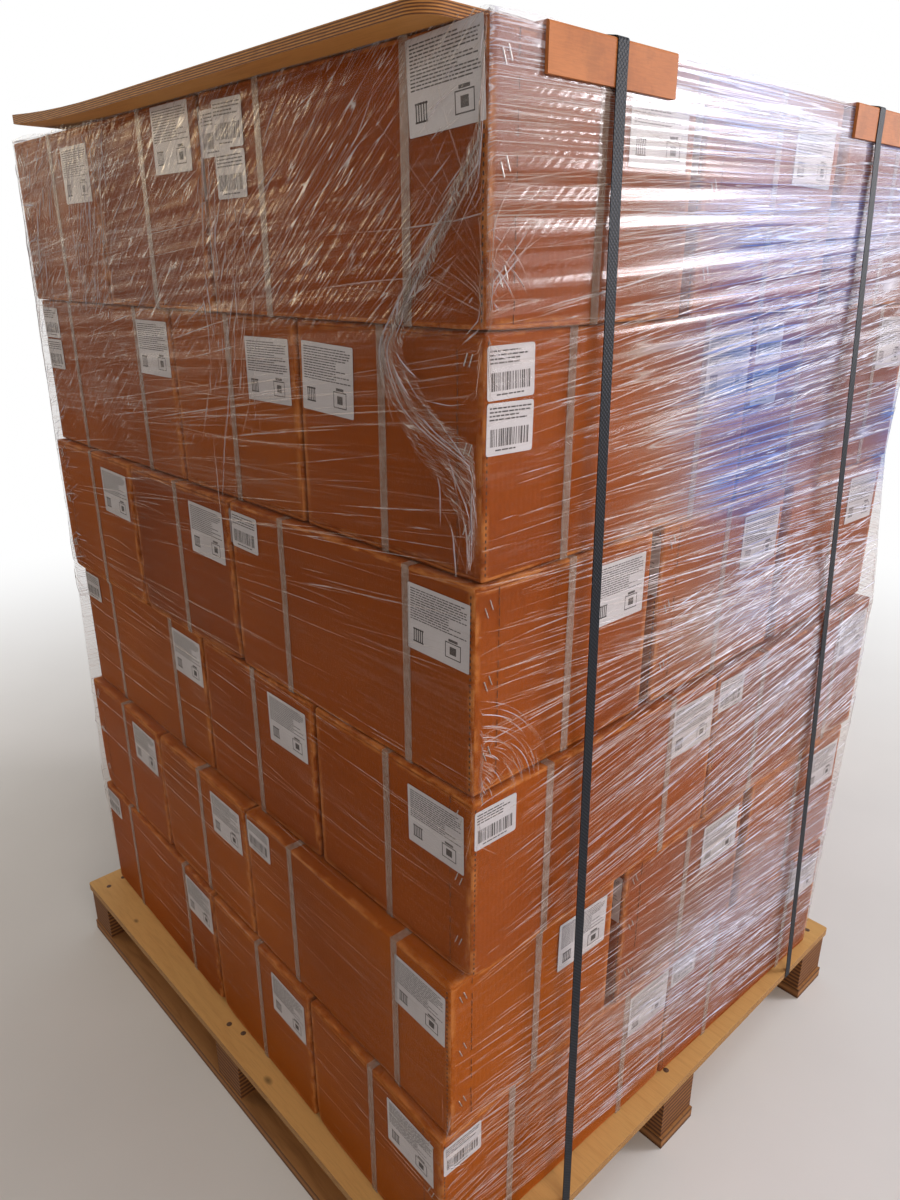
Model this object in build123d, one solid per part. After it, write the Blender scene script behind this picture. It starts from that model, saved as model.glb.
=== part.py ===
from build123d import *
import os

# A pallet load: six layers of seven banded cartons on a plywood pallet,
# wrapped in stretch film, with a plywood board on top and two straps.
# Millimetres, +Z up, origin under the middle of the pallet on the floor.
# +X is the strapped side, -Y is the other side that the photograph shows.

# Pallet: its deck reaches past the load by these margins on each side
deck_margin_x = 35.0
deck_margin_y = 48.5
runner_width = 92.0
runner_thickness = 22.0
block_length = 78.0
block_width = 88.0
block_height = 87.0
block_inset = 4.0
deck_thickness = 15.0
deck_corner_radius = 5.0

# Cartons
carton_length = 480.0
carton_width = 305.0
carton_height = 243.0
carton_corner_radius = 4.0
layer_count = 6
layer_gap = 1.5
column_gap = 10.0
pair_gap = 3.0
least_row_gap = 4.0

# How far each layer has slid and turned, from the bottom layer to the top one
layer_slide_x = [3.0, 2.0, 6.0, -11.0, -12.0, -4.0]
layer_slide_y = [-3.0, 6.0, 26.0, 24.0, 36.0, 27.0]
layer_turn = [-1.9, -1.5, -1.0, 0.0, 0.0, 0.0]

# How far a carton sits inside the outline of its layer, taken in turn
carton_recess = [0.0, 2.0, 0.8, 0.5, 1.6, 0.0, 1.2]

# Plastic band round each carton: two the short way, one the long way
band_width = 12.0
band_thickness = 0.6
band_from_left_end = 126.0
band_from_right_end = 107.0
band_seat_gap = 0.3

# Stretch film, as a closed sleeve
film_thickness = 0.5
film_clearance = 1.0
film_corner_radius = 6.0
film_lower_edge = 12.0
film_upper_edge = 0.4
film_straight_top = 60.0

# Board on top of the load
board_length = 962.0
board_width = 905.0
board_thickness = 12.0
board_set_back = 41.0
board_front_overhang = 12.5
board_corner_radius = 26.0
board_curl_length = 340.0
board_curl_rise = 14.0
board_seat_gap = 0.9

# Fibreboard edge protectors under the straps
protector_length = 190.0
protector_leg = 40.0
protector_thickness = 4.0
protector_corner_radius = 3.0
protector_shift_y = [-6.0, 26.0]
protector_seat_gap = 0.3

# Straps round load and pallet deck
strap_width = 16.0
strap_thickness = 0.9
strap_share_y = [-0.63, 0.747]
strap_lean_y = [15.0, -89.0]
strap_bend_radius = 2.5
strap_deck_radius = 0.6
strap_seat_gap = 0.3
strap_run_on_leg = 35.0

# How far a cutting shape reaches past the piece it cuts
cut_room = 10.0

# Sizes that follow from the ones above
load_length = carton_length + 2 * carton_width + 2 * column_gap
pair_row = 2 * carton_length + pair_gap
three_row = 3 * carton_width + 2 * least_row_gap
load_width = max(pair_row, three_row)
row_gap = (load_width - 3 * carton_width) / 2
pallet_length = load_length + 2 * deck_margin_x
pallet_width = load_width + 2 * deck_margin_y
deck_bottom = runner_thickness + block_height
deck_top = deck_bottom + deck_thickness
load_bottom = deck_top + band_thickness + band_seat_gap
layer_pitch = carton_height + layer_gap
load_top = load_bottom + layer_count * layer_pitch - layer_gap
block_step_x = pallet_length / 2 - block_inset - block_length / 2
block_step_y = pallet_width / 2 - block_inset - block_width / 2
board_end_x = load_length / 2 - board_set_back
board_front_y = -load_width / 2 - board_front_overhang
strap_bottom_y = [share * block_step_y for share in strap_share_y]
strap_top_y = [low + lean for low, lean in zip(strap_bottom_y, strap_lean_y)]
protector_y = [top + shift for top, shift in zip(strap_top_y, protector_shift_y)]

os.makedirs("parts", exist_ok=True)


def save(shape, name):
    shape.label = name
    export_step(shape, "parts/" + name + ".step")
    print(name, len(shape.solids()), "solid(s), volume", round(shape.volume))


def box_between(x0, x1, y0, y1, z0, z1):
    centre = Pos((x0 + x1) / 2, (y0 + y1) / 2, (z0 + z1) / 2)
    return centre * Box(x1 - x0, y1 - y0, z1 - z0)


def make_pallet():
    deck = Pos(0, 0, deck_bottom) * extrude(
        RectangleRounded(pallet_length, pallet_width, deck_corner_radius), deck_thickness
    )
    save(deck, "pallet_deck")
    blocks = []
    runners = []
    for row in [-1, 0, 1]:
        y = row * block_step_y
        for column in [-1, 0, 1]:
            place = Pos(column * block_step_x, y, runner_thickness + block_height / 2)
            blocks.append(place * Box(block_length, block_width, block_height))
        place = Pos(0, y, runner_thickness / 2)
        runners.append(place * Box(pallet_length, runner_width, runner_thickness))
    save(Compound(children=blocks), "pallet_blocks")
    save(Compound(children=runners), "pallet_runners")


def make_carton():
    body = Box(carton_length, carton_width, carton_height)
    return fillet(body.edges().filter_by(Axis.Z), carton_corner_radius)


def make_carton_bands():
    wrap_x = carton_length + 2 * band_thickness
    wrap_y = carton_width + 2 * band_thickness
    wrap_z = carton_height + 2 * band_thickness
    left = -carton_length / 2 + band_from_left_end
    right = carton_length / 2 - band_from_right_end
    bands = Box(wrap_x, band_width, wrap_z)
    bands += Pos(left, 0, 0) * Box(band_width, wrap_y, wrap_z)
    bands += Pos(right, 0, 0) * Box(band_width, wrap_y, wrap_z)
    bands -= Box(carton_length, carton_width, carton_height)
    return bands


def layer_places(layer):
    """Seven places in one layer: (x, y, turn in degrees), before its slide.

    Each carton's own left end is at its -X end before the turn.
    """
    half_x = load_length / 2
    half_y = load_width / 2
    places = []
    row_step = carton_width + row_gap
    for row in [-1, 0, 1]:
        recess = carton_recess[(len(places) + layer) % len(carton_recess)]
        turn = 180.0 if row == 1 else 0.0
        places.append((half_x - carton_length / 2 - recess, row * row_step, turn))
    for column in [0, 1]:
        x = -half_x + carton_width / 2 + column * (carton_width + column_gap)
        for side in [-1, 1]:
            recess = carton_recess[(len(places) + layer) % len(carton_recess)]
            turn = -90.0 if column == 0 else 90.0
            inset = recess if column == 0 else 0.0
            places.append((x + inset, side * (half_y - carton_length / 2), turn))
    if layer % 2 == 0:
        places = [(-x, -y, turn + 180.0) for x, y, turn in places]
    return places


def layer_frame(layer):
    """Where the middle of a layer stands on the pallet, slid and turned."""
    slide = (layer_slide_x[layer], layer_slide_y[layer], 0.0)
    return Location(slide, (0, 0, layer_turn[layer]))


def make_layers():
    carton = make_carton()
    bands = make_carton_bands()
    for layer in range(layer_count):
        z = load_bottom + layer * layer_pitch + carton_height / 2
        layer_bands = []
        for number, (x, y, turn) in enumerate(layer_places(layer)):
            place = layer_frame(layer) * Location((x, y, z), (0, 0, turn))
            save(carton.moved(place), f"carton_layer{layer + 1}_{number + 1}")
            layer_bands.append(bands.moved(place))
        save(Compound(children=layer_bands), f"carton_bands_layer{layer + 1}")


def film_section(layers, z, grow):
    """Rounded outline round the named layers, grown outward, at height z."""
    turn = sum(layer_turn[k] for k in layers) / len(layers)
    corners = []
    for k in layers:
        for x in [-load_length / 2, load_length / 2]:
            for y in [-load_width / 2, load_width / 2]:
                place = Rot(0, 0, -turn) * layer_frame(k) * Pos(x, y, 0)
                corners.append(place.position)
    x0 = min(corner.X for corner in corners) - grow
    x1 = max(corner.X for corner in corners) + grow
    y0 = min(corner.Y for corner in corners) - grow
    y1 = max(corner.Y for corner in corners) + grow
    radius = film_corner_radius + grow - film_clearance
    place = Rot(0, 0, turn) * Pos((x0 + x1) / 2, (y0 + y1) / 2, z)
    return place * RectangleRounded(x1 - x0, y1 - y0, radius)


def film_body(grow, overrun):
    low = deck_top + film_lower_edge
    high = load_top + film_upper_edge
    last = layer_count - 1
    sections = [film_section([0], low, grow)]
    if overrun:
        sections.insert(0, film_section([0], low - overrun, grow))
    for k in range(1, layer_count):
        z = load_bottom + k * layer_pitch - layer_gap / 2
        sections.append(film_section([k - 1, k], z, grow))
    sections.append(film_section([last], high - film_straight_top, grow))
    sections.append(film_section([last], high, grow))
    if overrun:
        sections.append(film_section([last], high + overrun, grow))
    return loft(sections, ruled=True)


def make_film():
    outer = film_body(film_clearance + film_thickness, 0.0)
    inner = film_body(film_clearance, cut_room)
    save(outer - inner, "stretch_wrap")


def board_profile():
    z0 = load_top + board_seat_gap
    flat_end = board_end_x - board_length + board_curl_length
    far_end = board_end_x - board_length
    curl = board_curl_rise
    half = board_curl_length / 2
    with BuildSketch(Plane.XZ) as profile:
        with BuildLine():
            low = Line((board_end_x, z0), (flat_end, z0))
            low_curl = ThreePointArc((flat_end, z0), (flat_end - half, z0 + curl / 4), (far_end, z0 + curl))
            end = Line(low_curl @ 1, (far_end, z0 + curl + board_thickness))
            high = z0 + board_thickness
            high_curl = ThreePointArc(end @ 1, (flat_end - half, high + curl / 4), (flat_end, high))
            top = Line(high_curl @ 1, (board_end_x, high))
            Line(top @ 1, low @ 0)
        make_face()
    return profile.sketch


def make_board():
    blank = extrude(board_profile(), board_width, dir=(0, 1, 0))
    blank = Pos(0, board_front_y, 0) * blank
    x0 = board_end_x - board_length
    middle = Pos(x0 + board_length / 2, board_front_y + board_width / 2, load_top - cut_room)
    height = board_seat_gap + board_thickness + board_curl_rise + 2 * cut_room
    outline = middle * extrude(RectangleRounded(board_length, board_width, board_corner_radius), height)
    save(blank & outline, "top_board")


def side_face_x(side):
    """Outer face of the film at the top layer, on the +X or -X side."""
    reach = load_length / 2 + film_clearance + film_thickness
    return layer_slide_x[-1] + side * reach


def protector_face_x(side):
    return side_face_x(side) + side * (protector_seat_gap + protector_thickness)


def make_protectors():
    z1 = load_top + board_seat_gap + protector_thickness
    z0 = z1 - protector_leg
    for side, side_name in [(1, "right"), (-1, "left")]:
        for number, y in enumerate(protector_y):
            outer = protector_face_x(side)
            far = outer - side * protector_leg
            x0, x1 = sorted([outer, far])
            block = box_between(x0, x1, y - protector_length / 2, y + protector_length / 2, z0, z1)
            edge = block.edges().filter_by(Axis.Y).group_by(Axis.Z)[-1].sort_by(Axis.X)
            block = fillet(edge[-1] if side == 1 else edge[0], protector_corner_radius)
            inner = outer - side * protector_thickness
            a0, a1 = sorted([inner, far - side * cut_room])
            reach = protector_length / 2 + cut_room
            room = box_between(a0, a1, y - reach, y + reach, z0 - cut_room, z1 - protector_thickness)
            save(block - room, f"edge_protector_{side_name}_{number + 1}")


def strap_piece(points, y, radius):
    """Planar length of strap; points run along its inner face, strap on the left."""
    with BuildSketch(Plane.XZ) as profile:
        with BuildLine():
            FilletPolyline(*points, radius=radius)
            offset(amount=strap_thickness, side=Side.LEFT)
        make_face()
    width = extrude(profile.sketch, strap_width, dir=(0, 1, 0))
    return Pos(0, y - strap_width / 2, 0) * width


def strap_run(x0, y0, z0, x1, y1, z1, side):
    """Straight length of strap up one side of the load, standing on two sections."""
    lower = Pos(x0 + side * strap_thickness / 2, y0, z0) * Rectangle(strap_thickness, strap_width)
    upper = Pos(x1 + side * strap_thickness / 2, y1, z1) * Rectangle(strap_thickness, strap_width)
    return loft([lower, upper], ruled=True)


def make_straps():
    under = deck_bottom - strap_seat_gap
    edge_x = pallet_length / 2 + strap_seat_gap
    over_deck = deck_top + strap_seat_gap
    protector_top = load_top + board_seat_gap + protector_thickness + strap_seat_gap
    board_top = load_top + board_seat_gap + board_thickness + strap_seat_gap
    leg_z = protector_top - strap_run_on_leg
    right_x = protector_face_x(1) + strap_seat_gap
    left_x = protector_face_x(-1) - strap_seat_gap
    board_far = board_end_x - board_length
    for number in range(2):
        bottom = strap_piece(
            [
                (edge_x, over_deck),
                (edge_x, under),
                (-edge_x, under),
                (-edge_x, over_deck),
            ],
            strap_bottom_y[number],
            strap_deck_radius,
        )
        top = strap_piece(
            [
                (left_x, leg_z),
                (left_x, protector_top),
                (board_far, board_top + board_curl_rise),
                (board_far + board_curl_length, board_top),
                (board_end_x, board_top),
                (right_x, protector_top),
                (right_x, leg_z),
            ],
            strap_top_y[number],
            strap_bend_radius,
        )
        ends = (strap_bottom_y[number], over_deck, strap_top_y[number], leg_z)
        right = strap_run(edge_x, ends[0], ends[1], right_x, ends[2], ends[3], 1)
        left = strap_run(-edge_x, ends[0], ends[1], left_x, ends[2], ends[3], -1)
        save(bottom + top + right + left, f"strap_{number + 1}")


make_pallet()
make_layers()
make_film()
make_board()
make_protectors()
make_straps()
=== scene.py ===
# %% [markdown]
# # A wrapped pallet load
# Forty-two banded cartons stand in six layers on a plywood pallet. Stretch film
# goes round them, a plywood board lies on top, and two straps go over
# fibreboard edge protectors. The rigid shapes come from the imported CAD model.
# This lesson dresses them: creased cartons, labels, wrinkled film and wood.

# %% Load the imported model
import math
import random

import bmesh
import bpy
from mathutils import Matrix, Vector, noise


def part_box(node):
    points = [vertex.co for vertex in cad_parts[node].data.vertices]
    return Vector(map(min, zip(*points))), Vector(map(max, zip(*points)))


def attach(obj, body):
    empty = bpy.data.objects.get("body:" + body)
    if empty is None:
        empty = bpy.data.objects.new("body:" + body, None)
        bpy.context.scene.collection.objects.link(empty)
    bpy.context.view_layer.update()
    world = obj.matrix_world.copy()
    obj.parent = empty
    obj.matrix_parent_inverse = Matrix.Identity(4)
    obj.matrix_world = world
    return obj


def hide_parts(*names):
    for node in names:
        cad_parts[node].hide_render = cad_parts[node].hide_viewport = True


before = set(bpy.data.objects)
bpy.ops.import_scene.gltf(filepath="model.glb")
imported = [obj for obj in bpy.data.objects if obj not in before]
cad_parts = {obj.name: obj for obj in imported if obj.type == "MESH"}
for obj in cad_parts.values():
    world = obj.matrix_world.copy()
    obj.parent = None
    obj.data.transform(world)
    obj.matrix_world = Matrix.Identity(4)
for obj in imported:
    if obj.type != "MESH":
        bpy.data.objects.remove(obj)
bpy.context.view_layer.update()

# %% [markdown]
# Everything in Blender is in metres, so a real size in millimetres is
# multiplied by `mm`. Colours are written as a screen shows them and turned to
# the linear values that a shader works with by one function.

# %% Units and colours
mm = 0.001


def hue(code):
    """A screen colour such as '#c07a3c' as the linear colour a socket takes."""
    parts = [int(code[k : k + 2], 16) / 255 for k in (1, 3, 5)]
    return tuple(c / 12.92 if c <= 0.04045 else ((c + 0.055) / 1.055) ** 2.4 for c in parts) + (1.0,)


print("kraft in linear light:", [round(c, 3) for c in hue("#a45014")])

# %% [markdown]
# A material is a small graph of nodes. One helper adds a node, sets its
# properties and sockets, and makes its links, so each finish below reads as a
# list of what it is made of. A colour in it is a screen colour, and a colour
# stop can also be a plain number for a grey.

# %% One way to add a node
MIX = {"data_type": "RGBA"}
SHADE = {"data_type": "RGBA", "blend_type": "MULTIPLY"}
TIMES = {"operation": "MULTIPLY"}
TIMES_PLUS = {"operation": "MULTIPLY_ADD"}
PLUS = {"operation": "ADD", "use_clamp": True}
LARGER = {"operation": "MAXIMUM"}
FLAT = {"noise_dimensions": "2D"}
# a mapping with this setting takes the size of one cell of the pattern as its scale
CELL = {"vector_type": "TEXTURE"}


def wire(node, **sockets):
    """Sets or links a node's sockets; a node stands for its first output."""
    for name, value in sockets.items():
        key = int(name[1:]) if name[1:].isdigit() else name.replace("_", " ")
        if isinstance(value, bpy.types.Node):
            value = next(out for out in value.outputs if out.enabled)
        if isinstance(value, bpy.types.NodeSocket):
            node.id_data.links.new(value, node.inputs[key])
        else:
            node.inputs[key].default_value = hue(value) if isinstance(value, str) else value


def add(tree, kind, settings=None, stops=(), **sockets):
    """Adds a node with its settings, colour stops, values and links."""
    node = tree.nodes.new("ShaderNode" + kind)
    for name, value in (settings or {}).items():
        setattr(node, name, value)
    for _ in stops[2:]:
        node.color_ramp.elements.new(0.5)
    for k, (place, colour) in enumerate(stops):
        node.color_ramp.elements[k].position = place
        node.color_ramp.elements[k].color = hue(colour) if isinstance(colour, str) else (colour,) * 3 + (1.0,)
    wire(node, **sockets)
    return node


def new_material(name):
    """An empty material with a Principled shader joined to its output."""
    made = bpy.data.materials.new(name)
    made.use_nodes = True
    tree = made.node_tree
    tree.nodes.clear()
    shader = add(tree, "BsdfPrincipled")
    add(tree, "OutputMaterial", Surface=shader)
    return made, tree, shader


print("a node helper, and one for an empty material")

# %% [markdown]
# ## Kraft corrugated board
# The cartons are brown kraft liner glued over flutes. It has long darker
# fibres and flecks, a faint washboard of flutes every 7 mm, and rubbed, paler
# creases. The pattern follows each panel, so it reads the panel's own UV map,
# laid out in metres.

# %% Kraft board finish
# Kraft corrugated board: liner paper glued over flutes on a corrugator. It
# gives the eye a dull orange brown with long fibres, dark flecks, a faint
# washboard and folds that are rubbed pale.
def make_kraft(name, light, dark):
    made, tree, shader = new_material(name)
    panel = add(tree, "UVMap", {"uv_map": "panel"})
    spot = add(tree, "TexCoord").outputs["Object"]
    fold = add(tree, "Attribute", {"attribute_name": "fold"}).outputs["Fac"]
    cloud = add(tree, "TexNoise", Vector=spot, Scale=1 / (290 * mm), Detail=2.0)
    drawn = add(tree, "Mapping", Vector=panel, Scale=(1.0, 0.22, 1.0))
    fibre = add(tree, "TexNoise", FLAT, Vector=drawn, Scale=1 / (2.4 * mm), Detail=1.0)
    fleck = add(tree, "TexNoise", FLAT, Vector=panel, Scale=1 / (1.1 * mm), Detail=0.0)
    scuff = add(tree, "TexNoise", FLAT, Vector=panel, Scale=1 / (38 * mm), Detail=3.0, Roughness=0.7)
    clouds = add(tree, "ValToRGB", stops=[(0.3, dark), (0.7, light)], Fac=cloud)
    fibres = add(tree, "ValToRGB", stops=[(0.36, 0.62), (0.58, 1.0)], Fac=fibre)
    flecks = add(tree, "ValToRGB", stops=[(0.30, 0.45), (0.36, 1.0)], Fac=fleck)
    scuffs = add(tree, "ValToRGB", stops=[(0.38, 0.0), (0.62, 0.75)], Fac=scuff)
    fibred = add(tree, "Mix", SHADE, _0=0.4, _6=clouds, _7=fibres)
    flecked = add(tree, "Mix", SHADE, _0=0.4, _6=fibred, _7=flecks)
    rubbed = add(tree, "Math", TIMES, _0=fold, _1=scuffs)
    colour = add(tree, "Mix", MIX, _0=rubbed, _6=flecked, _7="#c97f42")
    # flutes every 7 mm: a wave node repeats every 1/(3.18 * scale) of a metre
    flute = add(tree, "TexWave", {"bands_direction": "X"}, Vector=panel, Scale=1 / (7 * mm) / 3.18)
    rough = add(tree, "Math", TIMES_PLUS, _0=fibre, _1=0.2, _2=0.52)
    washboard = add(tree, "Bump", Height=flute, Strength=0.10, Distance=0.4 * mm)
    paper = add(tree, "Bump", Height=fibre, Strength=0.2, Distance=0.15 * mm, Normal=washboard)
    wire(shader, Base_Color=colour, Roughness=rough, Specular_IOR_Level=0.05, Normal=paper)
    return made


kraft_tones = [
    make_kraft("kraft_board_warm", "#a95511", "#93460c"),
    make_kraft("kraft_board_mid", "#a45014", "#8d410f"),
    make_kraft("kraft_board_deep", "#984712", "#80390d"),
]
print("carton board tones:", len(kraft_tones))

# %% [markdown]
# ## One creased carton
# A real carton has no knife-sharp edges: its corners are folds a few
# millimetres round, its panels pull in a little, and the outer flaps meet in a
# slit on top. It starts as a cube, gets rounded folds by bevels, cuts by
# planes for the slit and the undulation, and keeps inside the CAD solid.

# %% Blocks, rounded edges and cuts
def block(width, depth, height):
    """A box with its middle at the origin."""
    bm = bmesh.new()
    bmesh.ops.create_cube(bm, size=1.0)
    bmesh.ops.scale(bm, vec=(width, depth, height), verts=bm.verts)
    return bm


def reach(edge, axis):
    """How far an edge runs along an axis."""
    return abs(edge.verts[0].co[axis] - edge.verts[1].co[axis])


def round_edges(bm, edges, radius, steps):
    rounding = {"profile": 0.5, "affect": "EDGES", "material": -1}
    bmesh.ops.bevel(bm, geom=edges, offset=radius, segments=steps, **rounding)


def cut(bm, axis, place):
    """Cuts every face along the plane across an axis at one place."""
    normal = Vector((axis == 0, axis == 1, axis == 2))
    everything = bm.verts[:] + bm.edges[:] + bm.faces[:]
    bmesh.ops.bisect_plane(bm, geom=everything, dist=1e-6, plane_co=normal * place, plane_no=normal)


print("helpers for boxes")

# %% Build the template carton
carton_length, carton_width, carton_height = 480 * mm, 305 * mm, 243 * mm
half_carton = (carton_length / 2, carton_width / 2, carton_height / 2)
corner_fold, rim_fold, fold_strip = 4 * mm, 3 * mm, 11 * mm
slit_width, slit_depth = 1.2 * mm, 3 * mm
flap_edge, flap_depth = 5.2 * mm, 1.3 * mm
tiny = 0.1 * mm
# cuts that let the panels undulate, as (axis, pitch in mm, steps)
panel_cuts = ((0, 40, range(-5, 6)), (1, 38, (-3, -2, -1, 1, 2, 3)), (2, 40, range(-2, 3)))


def is_rim(edge):
    """True where a side panel meets the top or the bottom."""
    faces = edge.link_faces
    return reach(edge, 2) < 1e-6 and len(faces) == 2 and abs(faces[0].normal.z - faces[1].normal.z) > 0.5


def carton_template():
    bm = block(carton_length, carton_width, carton_height)
    round_edges(bm, [e for e in bm.edges if reach(e, 2) > 0.1], corner_fold, 3)
    round_edges(bm, [e for e in bm.edges if is_rim(e)], rim_fold, 2)
    for axis, pitch, steps in panel_cuts:
        for k in steps:
            cut(bm, axis, k * pitch * mm)
    for axis, half in enumerate(half_carton):
        cut(bm, axis, half - fold_strip)
        cut(bm, axis, fold_strip - half)
    for place in (-slit_width, 0.0, slit_width):
        cut(bm, 1, place)
    half_length, _, half_height = half_carton
    for v in bm.verts:
        if abs(v.co.y) < slit_width / 2 and abs(v.co.z) > half_height - tiny:
            v.co.z -= math.copysign(slit_depth, v.co.z)
    # the outer flaps' cut edges show as a line near the top and foot of each end
    for step in (1.0, 0.0, -1.0):
        cut(bm, 2, half_height - flap_edge - step * mm)
        cut(bm, 2, flap_edge + step * mm - half_height)
    for v in bm.verts:
        if abs(abs(v.co.z) - (half_height - flap_edge)) < tiny and abs(v.co.x) > half_length - tiny:
            v.co.x -= math.copysign(flap_depth, v.co.x)
    return bm


template = carton_template()
print("template carton faces:", len(template.faces))

# %% [markdown]
# Each carton is a copy of that template. Seeded noise pulls its panels in by
# up to 1.6 mm and crushes a corner now and then, so no two are alike. A carton
# stands where its CAD node stands: the node's box gives its middle, and the
# layer's own small turn and the stacking pattern give the way it faces.

# %% Where the cartons stand
layer_count, cartons_a_layer = 6, 7
layer_slide = [(3, -3), (2, 6), (6, 26), (-11, 24), (-12, 36), (-4, 27)]
layer_turn = [-1.9, -1.5, -1.0, 0.0, 0.0, 0.0]
facing = [0, 0, 180, -90, -90, 90, 90]
layers, numbers = range(1, layer_count + 1), range(1, cartons_a_layer + 1)
every_carton = [(layer, number) for layer in layers for number in numbers]


def carton_place(layer, number):
    """Where carton `number` (1 to 7) of a layer stands, as a matrix."""
    low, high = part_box(f"carton_layer{layer}_{number}")
    turn = facing[number - 1] + layer_turn[layer - 1] + (180 if layer % 2 == 1 else 0)
    return Matrix.Translation((low + high) / 2) @ Matrix.Rotation(math.radians(turn), 4, "Z")


print("places:", len(every_carton))

# %% From a bmesh to a piece
def as_mesh(bm, name):
    """Turns a bmesh into mesh data and frees it."""
    mesh = bpy.data.meshes.new(name)
    bm.to_mesh(mesh)
    bm.free()
    return mesh


def into_scene(name, data):
    """Puts an object with this data into the scene."""
    made = bpy.data.objects.new(name, data)
    bpy.context.scene.collection.objects.link(made)
    return made


def finish_mesh(bm, name, material, smooth=False):
    """Turns a bmesh into a piece, with its one finish, that rides on the load."""
    mesh = as_mesh(bm, name)
    mesh.materials.append(material)
    for face in mesh.polygons:
        face.use_smooth = smooth
    piece = into_scene(name, mesh)
    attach(piece, "root")
    return piece


def dress(name, material):
    """Gives a CAD node its one finish."""
    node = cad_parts[name]
    node.data.materials.clear()
    node.data.materials.append(material)


print("helpers for pieces")

# %% Place the cartons
chance = random.Random(42)
# how wide a fold is rubbed, how far a panel is pulled in, and how far from its folds in full
rubbed_strip, pull_most, pull_room = 5 * mm, 1.5 * mm, 40 * mm
crush_reach = 28 * mm


def lay_panels(bm, shift):
    """UV map in metres: across and up on the sides, along and across on top."""
    uv = bm.loops.layers.uv.new("panel")
    for face in bm.faces:
        n = face.normal
        for loop in face.loops:
            x, y, z = loop.vert.co
            if abs(n.z) > 0.7:
                loop[uv].uv = (x + shift, y + shift)
            elif abs(n.x) > abs(n.y):
                loop[uv].uv = (y + shift, z + shift)
            else:
                loop[uv].uv = (x + shift, z + shift)


def to_fold(v, half):
    """How far a panel's point is from the panel's nearest fold, 0 on a fold."""
    if max(abs(c) for c in v.normal) <= 0.9:
        return 0.0
    return min(half[k] - abs(v.co[k]) for k in (0, 1, 2) if abs(v.normal[k]) < 0.9)


def make_carton(layer, number):
    bm = template.copy()
    bmesh.ops.triangulate(bm, faces=[f for f in bm.faces if len(f.verts) > 4])
    lay_panels(bm, layer * 1.7 + number * 0.37)
    seed = Vector((layer * 5.1, number * 3.3, 0.0))
    fold = bm.verts.layers.float.new("fold")
    bm.normal_update()
    half = Vector(half_carton)
    crushed = []
    for _ in range(2):
        signs = [chance.choice((-1, 1)) for _ in range(3)]
        corner = Vector([sign * h for sign, h in zip(signs, half)])
        crushed.append((corner, chance.uniform(2, 6) * mm))
    for v in bm.verts:
        near_fold = to_fold(v, half)
        v[fold] = 1.0 if near_fold < rubbed_strip else 0.0
        pull = (noise.noise(v.co * 7 + seed) * 0.5 + 0.5) * pull_most * min(1.0, near_fold / pull_room)
        move = -v.normal * (pull + 0.1 * mm)
        for corner, depth in crushed:
            near = max(0.0, 1 - (v.co - corner).length / crush_reach)
            move -= corner.normalized() * depth * near * near
        v.co += move
    bmesh.ops.transform(bm, matrix=carton_place(layer, number), verts=bm.verts)
    piece = finish_mesh(bm, f"carton_body_{layer}_{number}", chance.choice(kraft_tones), smooth=True)
    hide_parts(f"carton_layer{layer}_{number}")
    return piece


cartons = [make_carton(layer, number) for layer, number in every_carton]
template.free()
print("cartons:", len(cartons), "faces each:", len(cartons[0].data.polygons))

# %% [markdown]
# ## Plastic bands
# Each carton is tied with thin, milky polypropylene bands. Their shape is
# right in the CAD model, so they only get a finish: a little light comes
# through, and a fine emboss catches it. Many of the small finishes are one soft
# noise in colour, some with a second one in relief, so one function makes them.

# %% Milky band finish
def make_clouded(name, cell, detail, stops, tooth=None, **sockets):
    """A finish whose colour is one soft noise with cells of one size. Its tooth
    is a noise in relief, as (cell, detail, strength, height)."""
    made, tree, shader = new_material(name)
    spot = add(tree, "TexCoord").outputs["Object"]
    cloud = add(tree, "TexNoise", Vector=spot, Scale=1 / cell, Detail=detail)
    if tooth:
        grain, fineness, strength, height = tooth
        rough = add(tree, "TexNoise", Vector=spot, Scale=1 / grain, Detail=fineness)
        sockets["Normal"] = add(tree, "Bump", Height=rough, Strength=strength, Distance=height)
    wire(shader, Base_Color=add(tree, "ValToRGB", stops=stops, Fac=cloud), **sockets)
    return made


# Polypropylene band, extruded and stretched. It gives the eye a milky grey
# line through which the board shows, with a soft gloss along it.
milk, emboss = [(0.3, "#a8907e"), (0.7, "#cbbdb2")], (4 * mm, 0.0, 0.2, 0.2 * mm)
band_plastic = make_clouded("milky_polypropylene_band", 4 * mm, 0.0, milk, emboss, Roughness=0.35, Alpha=0.31)
for layer in layers:
    dress(f"carton_bands_layer{layer}", band_plastic)
print("banded layers:", layer_count)

# %% [markdown]
# ## Paper labels
# Every carton carries a big goods label at the right of its long front and
# of both ends, and a small barcode label at the front's left. Both are paper,
# 0.3 mm thick, with round corners. What is printed on them here is generic:
# rows of word-long dashes, bars, a carton outline and no words.

# %% Paper and ink
# Coated label paper, calendered and cut by a die. It gives the eye a flat,
# cool off-white with a faint satin gloss.
pale, fibres = [(0.3, "#bdb9bb"), (0.7, "#cfcbcd")], (1.1 * mm, 2.0, 0.12, 0.1 * mm)
paper = make_clouded("coated_label_paper", 70 * mm, 4.0, pale, fibres, Roughness=0.5)
# Thermal print: dots burnt into the coating. It gives the eye a matt,
# slightly patchy black.
burnt = [(0.35, "#2a2727"), (0.7, "#4a4646")]
ink = make_clouded("thermal_print_ink", 0.7 * mm, 2.0, burnt, Roughness=0.6)
print("label materials:", paper.name, ink.name)

# %% Label shapes
def sheet_of_paper(width, height, corner):
    """A thin paper sheet across local Y, its middle at the origin."""
    bm = block(width, 0.3 * mm, height)
    round_edges(bm, [e for e in bm.edges if reach(e, 1) > 0.2 * mm], corner, 3)
    return bm


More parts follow.
